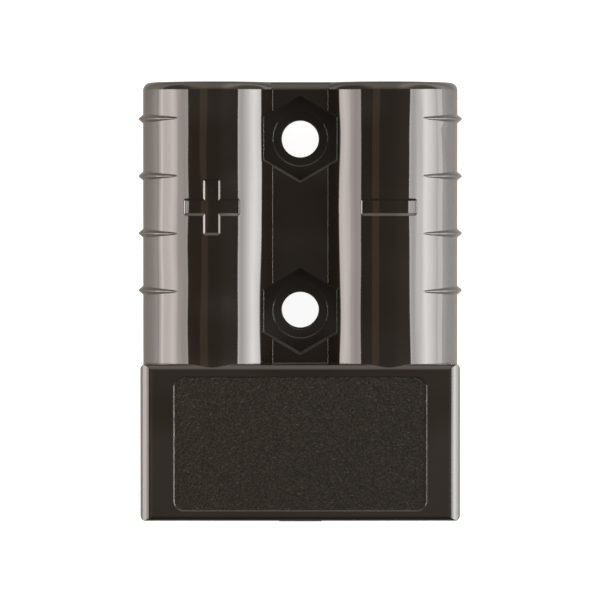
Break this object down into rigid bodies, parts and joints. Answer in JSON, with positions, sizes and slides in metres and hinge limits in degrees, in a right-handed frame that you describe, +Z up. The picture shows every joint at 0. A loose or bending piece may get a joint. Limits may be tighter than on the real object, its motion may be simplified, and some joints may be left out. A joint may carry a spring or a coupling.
{
  "type": "genderless power connector",
  "caption": "Genderless power connector: a ribbed black housing with side-by-side cable lobes, a flat mating hood, nut-pocketed screw holes and sprung hooked contacts.",
  "frame": {"origin": "centre of the bounding box in X and Y, on the surface that the lobes stand on", "axes": "+Y out of the cable entries, -Y out of the mating end, +Z up to the hood and the polarity marks, +X to the negative side"},
  "size_m": [0.0374, 0.0506, 0.0162],
  "materials": {
    "black_polycarbonate": "semi-gloss moulded, spark-eroded on the label field",
    "silver_plated_copper": "bright silver plate",
    "stainless_spring_steel": "rolled strip"
  },
  "bodies": {
    "root": {"housing": "black_polycarbonate", "contact_positive": "silver_plated_copper", "contact_negative": "silver_plated_copper", "spring_positive": "stainless_spring_steel", "spring_negative": "stainless_spring_steel"}
  },
  "joints": []
}
